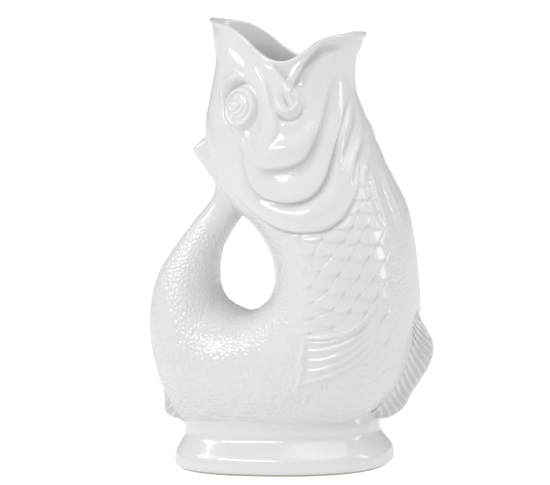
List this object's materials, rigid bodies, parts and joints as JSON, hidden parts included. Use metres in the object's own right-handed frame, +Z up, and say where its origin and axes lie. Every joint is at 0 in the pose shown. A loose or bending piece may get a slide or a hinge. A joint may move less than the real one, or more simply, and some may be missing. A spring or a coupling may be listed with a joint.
{
  "type": "gurgle jug",
  "caption": "White glazed ceramic fish jug on an oval foot: open mouth as spout, hollow tail bent up as the handle and air chamber.",
  "frame": {"origin": "on the table, under the middle of the jug's length, in its plane of symmetry", "axes": "+X from the handle towards the pouring lip, +Y to the fish's left, +Z up"},
  "size_m": [0.1617, 0.1014, 0.2478],
  "materials": {
    "glazed_ceramic": "clear gloss glaze over white clay",
    "bare_clay": "dry unglazed clay where the foot was wiped"
  },
  "bodies": {
    "root": {"pedestal_foot": "glazed_ceramic", "bare_foot_rim": "bare_clay", "body_shell": "glazed_ceramic", "head_shell": "glazed_ceramic", "tail_shell": "glazed_ceramic", "tail_fluke": "glazed_ceramic", "belly_fin": "glazed_ceramic", "back_fin": "glazed_ceramic", "left_pectoral_fin": "glazed_ceramic", "right_pectoral_fin": "glazed_ceramic", "left_gill_cover": "glazed_ceramic", "right_gill_cover": "glazed_ceramic", "left_eye": "glazed_ceramic", "right_eye": "glazed_ceramic", "left_lip_curl": "glazed_ceramic", "right_lip_curl": "glazed_ceramic"}
  },
  "joints": []
}
